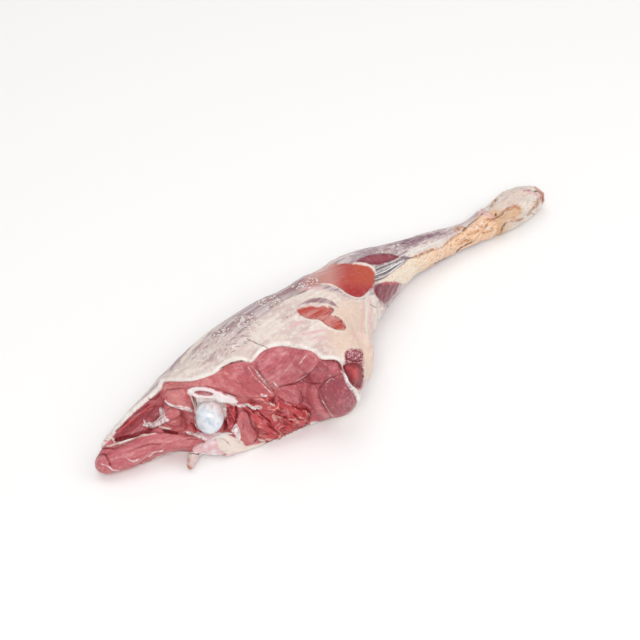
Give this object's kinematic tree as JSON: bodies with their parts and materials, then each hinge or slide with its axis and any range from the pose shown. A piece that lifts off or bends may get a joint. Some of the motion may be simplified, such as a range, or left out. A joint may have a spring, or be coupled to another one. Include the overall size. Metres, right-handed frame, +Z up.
{
  "type": "raw leg of lamb",
  "caption": "Raw leg of lamb lying on its side, bone in, with a fat cover, a slanting hip cut that shows the muscles and hip ball, and a trimmed shank ending in the hock.",
  "frame": {"origin": "on the table under the middle of the leg's bounding box", "axes": "+X along the leg from the rump to the hock, +Z up from the table, the hip cut faces -Y"},
  "size_m": [0.5348, 0.1338, 0.088],
  "materials": {
    "meat": "moist raw muscle under cream fat and thin silvery membrane",
    "femur": "wet bluish white cartilage",
    "shank_bone": "cream sinew and membrane over bone, drying at the end"
  },
  "bodies": {
    "root": {"meat": "meat", "femur": "femur", "shank_bone": "shank_bone"}
  },
  "joints": []
}
